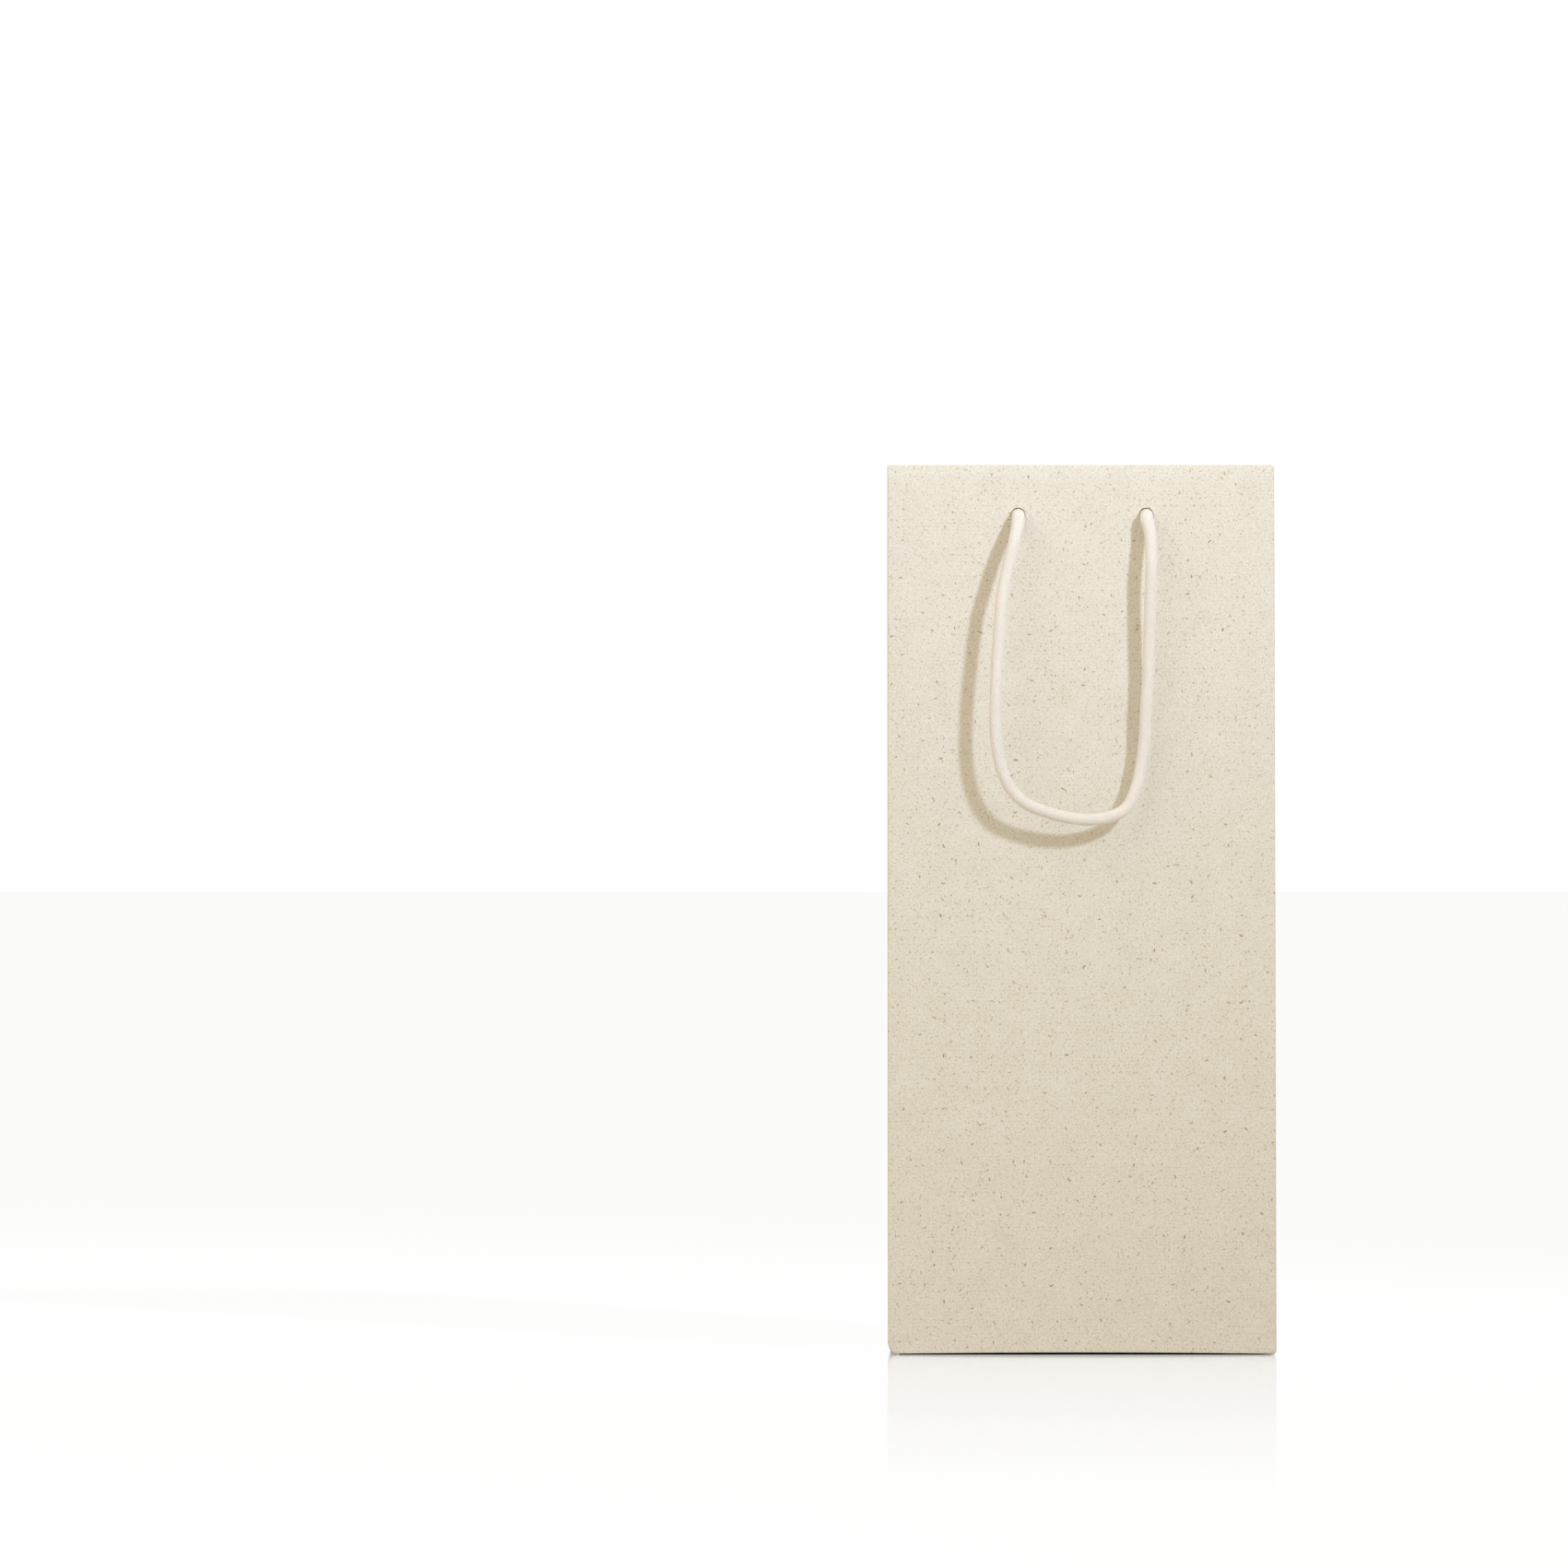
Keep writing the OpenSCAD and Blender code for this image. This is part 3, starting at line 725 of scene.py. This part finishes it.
# Stiffener cards and base board
# Greyboard of recycled fibre: strips 0.8 mm thick glued inside the turned-over edge, and a loose
# 1.5 mm board that flattens the bottom. Both keep the CAD's die-cut shapes.
def greyboard():
    """Uncoated recycled board: grey-brown, felted, with dark and pale fibres and a soft sheen."""
    material, tree = new_material("recycled_greyboard")
    metres = add(tree, "ShaderNodeTexCoord").outputs["Object"]
    place = add(tree, "ShaderNodeVectorMath", {0: metres, 1: (1 / MM,) * 3}, operation="MULTIPLY")
    # The felt is uneven over 2 mm, and ink and bark leave specks of half a millimetre
    felt = add(tree, "ShaderNodeTexNoise", {"Vector": place, "Scale": 0.55, "Detail": 5.0, "Roughness": 0.7})
    # Fibres are drawn out along the board's length, the way its pulp ran
    drawn = add(tree, "ShaderNodeMapping", {"Vector": place, "Scale": (0.35, 2.4, 2.4)})
    fibre = add(tree, "ShaderNodeTexNoise", {"Vector": drawn, "Scale": 1.0, "Detail": 3.0})
    specks = add(tree, "ShaderNodeTexNoise", {"Vector": place, "Scale": 1.6, "Detail": 1.0})
    tone = add(tree, "ShaderNodeMix", {0: 0.5, 2: felt, 3: fibre})
    level = add(tree, "ShaderNodeMapRange", {"Value": tone, "From Min": 0.35, "From Max": 0.65})
    colour = add(tree, "ShaderNodeMix", {0: level, COLOUR_A: linear("#8A7F6C"), COLOUR_B: linear("#A89E8A")},
                 data_type="RGBA")
    dark = add(tree, "ShaderNodeMapRange",
               {"Value": specks, "From Min": 0.68, "From Max": 0.74, "To Max": 0.6})
    colour = add(tree, "ShaderNodeMix",
                 {0: dark, COLOUR_A: colour.outputs[MIXED], COLOUR_B: linear("#63584A")}, data_type="RGBA")
    bump = add(tree, "ShaderNodeBump", {"Height": tone, "Strength": 0.25, "Distance": 0.1 * MM})
    shader = add(tree, "ShaderNodeBsdfPrincipled", {
        "Base Color": colour.outputs[MIXED], "Normal": bump, "Roughness": 0.8, "IOR": 1.5,
        "Specular IOR Level": 0.3,
    })
    add(tree, "ShaderNodeOutputMaterial", {0: shader})
    return material


board = greyboard()
for name in ("front_stiffener", "back_stiffener", "base_board"):
    card = frame["nodes"][name]
    card.data.materials.clear()
    card.data.materials.append(board)


# Knotted cord ends
# Inside the bag each end is tied in an overhand knot that is too thick for its hole. The tail hangs
# down the turned-over edge, and its cut yarns have come loose.
KNOT_R, KNOT_TUBE_R = 3.6 * MM, 2.1 * MM
KNOT_MIDDLE = 8.2 * MM
PULLED_CORD_R = 2.35 * MM
# Its yarns end in two rings about a middle pair: the last yarn of each, and its radius
TASSEL_R = 1.9 * MM
TASSEL_RINGS = ((2, 0.0), (9, 1.0 * MM), (26, TASSEL_R))


def knot_points(lean):
    """An overhand knot's route, a trefoil, in millimetres: across, up and into the bag from the hem."""
    r_big, r_small, middle = KNOT_R / MM, KNOT_TUBE_R / MM, KNOT_MIDDLE / MM
    low = -HANGS_LOW / MM
    points = [(0, low, -1.4), (0, low, 0.4), (0.7, -0.4, 2.0), (2.8, -0.4, 3.4), (5.0, 0.8, 5.4)]
    for degrees in range(22, 316, 14):
        s = math.radians(degrees)
        out = r_big + r_small * math.cos(3 * s)
        points.append((out * math.cos(2 * s + lean), out * math.sin(2 * s + lean),
                       middle + r_small * math.sin(3 * s)))
    points += [(2.6, -4.6, 5.4), (3.1, -8.0, 5.6), (2.6, -12.0, 6.0), (1.6, -17.0, 6.3), (0.8, -22.0, 6.4),
               (0.6, -25.4, 6.4)]
    return points


rng = np.random.default_rng(7)


def loose_yarns(end, down):
    """Paths and radii of the yarns that splay and curl from a cut end."""
    across = np.cross(down, (0.0, 1.0, 0.0))
    across /= np.linalg.norm(across)
    up = np.cross(down, across)
    for k in range(TASSEL_RINGS[-1][0]):
        ring = next(radius for last, radius in TASSEL_RINGS if k < last)
        turn = 2.4 * k + rng.uniform(-0.3, 0.3)
        out = math.cos(turn) * across + math.sin(turn) * up
        splay = rng.uniform(0.05, 0.45) * (0.4 + ring / TASSEL_R)
        curl = rng.uniform(-0.5, 0.5) * np.cross(down, out)
        reach = rng.uniform(2.8, 4.6) * MM
        # It starts inside the cord, bends away from it and thins towards its tip
        t = np.linspace(-0.35, 1, 9)[:, None]
        yarn = end + ring * out + reach * (t * down + np.clip(t, 0, 1) ** 2 * (splay * out + curl))
        yield yarn, np.interp(t[:, 0], (0, 0.8, 1), (0.46, 0.38, 0.12)) * MM


for name, side, turn, lean in (("front_left", -1, 0.0, 0.0), ("front_right", 1, 0.0, 0.25),
                               ("back_left", 1, math.pi, -0.2), ("back_right", -1, math.pi, 0.12)):
    path = curve_through(np.array(knot_points(lean)) * MM, RING_STEP)
    path = np.stack([side * HOLE_X + path[:, 0], hem_high.y + path[:, 2], swing_line.z + path[:, 1]], axis=1)
    path = turned_round(path, turn)
    run = run_along(path)
    left = run[-1] - run
    # The cord is pulled thin in its knot and swells a little at its cut end
    pulled = ease(run, 1.5 * MM, 6 * MM) * ease(left, 16 * MM, 24 * MM)
    radius = CORD_D / 2 - pulled * (CORD_D / 2 - PULLED_CORD_R) + 0.25 * MM * (1 - ease(left, 0, 4 * MM))
    down = (path[-1] - path[-6]) / np.linalg.norm(path[-1] - path[-6])
    knot = braided_tube(f"{name}_overhand_knot", path, radius, loose_yarns(path[-1], down))
    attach(knot, "bag")
    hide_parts(f"{name}_knot")
    knot.data.materials.append(cotton)


# Floor and light
# A glossy white studio table and a white background. A small key light at the upper right in front
# makes a pool that fades towards the table, a large weak one at the left softens its shadows, and a
# warmer fill comes from all round.
TABLE_GAP = 0.2 * MM
FILL = 0.565
# Place from the foot of the front wall, size, power, spread, height aimed at, and colour
LAMPS = {
    "key_light": ((1.25, -2.15, 1.46), 0.25, 1.57, math.radians(34), 0.62, (0.862, 1.03, 1.292)),
    "side_light": ((-1.7, -2.1, 1.8), 3.0, 21.0, math.radians(180), 0.3, (0.95, 1.0, 1.10)),
}

bpy.ops.object.select_all(action="DESELECT")
bpy.ops.mesh.primitive_plane_add(size=60, location=(0, 0, -TABLE_GAP))
floor = bpy.context.object
floor.name = "studio_table"
material, tree = new_material("glossy_white_table")
# The lamps and the bag see plain chalk white, and only the camera sees the table's gloss
chalk = add(tree, "ShaderNodeBsdfDiffuse", {"Color": linear("#DADADA")})
bright = add(tree, "ShaderNodeBsdfDiffuse", {"Color": linear("#FFFFFF")})
gloss = add(tree, "ShaderNodeBsdfGlossy", {"Color": linear("#FFFFFF"), "Roughness": 0.05})
# The table is polished bright where the bag stands, and duller away from it
spot = add(tree, "ShaderNodeTexCoord").outputs["Object"]
spot = add(tree, "ShaderNodeVectorMath", {0: spot}, operation="ABSOLUTE")
spot = add(tree, "ShaderNodeVectorMath", {0: spot, 1: (half_w, half_d, 0)}, operation="SUBTRACT")
past_x, past_y, _ = add(tree, "ShaderNodeSeparateXYZ", {0: spot}).outputs
past = add(tree, "ShaderNodeMath", {0: past_x, 1: past_y}, operation="MAXIMUM")
away = add(tree, "ShaderNodeMath", {0: past, 1: 0.0}, operation="MAXIMUM")
# A broad polish fades over 1.6 m, and a closer one over a few centimetres
fade = add(tree, "ShaderNodeMapRange", {"Value": away, "From Min": 1.6, "From Max": 0.0})
wide = add(tree, "ShaderNodeMath", {0: fade, 1: 1.6}, operation="POWER")
wide = add(tree, "ShaderNodeMath", {0: wide, 1: 0.42}, operation="MULTIPLY")
near = add(tree, "ShaderNodeMath", {0: away, 1: -20.0}, operation="MULTIPLY")
near = add(tree, "ShaderNodeMath", {0: near}, operation="EXPONENT")
both = add(tree, "ShaderNodeMath", {0: near, 1: 0.25, 2: wide}, operation="MULTIPLY_ADD")
grazing = add(tree, "ShaderNodeLayerWeight", {"Blend": 0.3})
polish = add(tree, "ShaderNodeMath", {0: both, 1: grazing.outputs["Facing"]}, operation="MULTIPLY")
# Its own white, which the camera sees, stops under the bag
open_floor = add(tree, "ShaderNodeMapRange", {"Value": past, "From Min": -6 * MM, "From Max": -MM,
                                              "To Max": 0.80})
glow = add(tree, "ShaderNodeEmission", {"Color": (0.97, 1.0, 1.04, 1.0), "Strength": open_floor})
half = add(tree, "ShaderNodeMixShader", {0: 0.72, 1: bright})
base = add(tree, "ShaderNodeAddShader", {0: half, 1: glow})
seen = add(tree, "ShaderNodeMixShader", {0: polish, 1: base, 2: gloss})
rays = add(tree, "ShaderNodeLightPath")
table = add(tree, "ShaderNodeMixShader", {0: rays.outputs["Is Camera Ray"], 1: chalk, 2: seen})
add(tree, "ShaderNodeOutputMaterial", {0: table})
floor.data.materials.append(material)

world = bpy.data.worlds.new("studio")
bpy.context.scene.world = world
world.use_nodes = True
tree = world.node_tree
tree.nodes.clear()
fill = add(tree, "ShaderNodeBackground", {"Color": (1.16, 1.0, 0.71, 1.0), "Strength": FILL})
white = add(tree, "ShaderNodeBackground", {"Color": (1, 1, 1, 1), "Strength": 1.0})
rays = add(tree, "ShaderNodeLightPath")
clear = add(tree, "ShaderNodeMath",
            {0: rays.outputs["Is Glossy Ray"], 1: rays.outputs["Is Transmission Ray"]}, operation="MAXIMUM")
seen = add(tree, "ShaderNodeMath", {0: rays.outputs["Is Camera Ray"], 1: clear}, operation="MAXIMUM")
mixed = add(tree, "ShaderNodeMixShader", {0: seen, 1: fill, 2: white})
add(tree, "ShaderNodeOutputWorld", {0: mixed})

for name, (place, size, power, spread, aim_z, colour) in LAMPS.items():
    lamp_data = bpy.data.lights.new(name, "AREA")
    lamp_data.shape = "DISK"
    lamp_data.size = size
    lamp_data.energy = power
    lamp_data.spread = spread
    lamp_data.color = colour
    lamp = bpy.data.objects.new(name, lamp_data)
    lamp.location = Vector((0, front_low.y, 0)) + Vector(place)
    aim = Vector((0, front_low.y, aim_z)) - lamp.location
    lamp.rotation_euler = aim.to_track_quat("-Z", "Y").to_euler()
    bpy.context.scene.collection.objects.link(lamp)
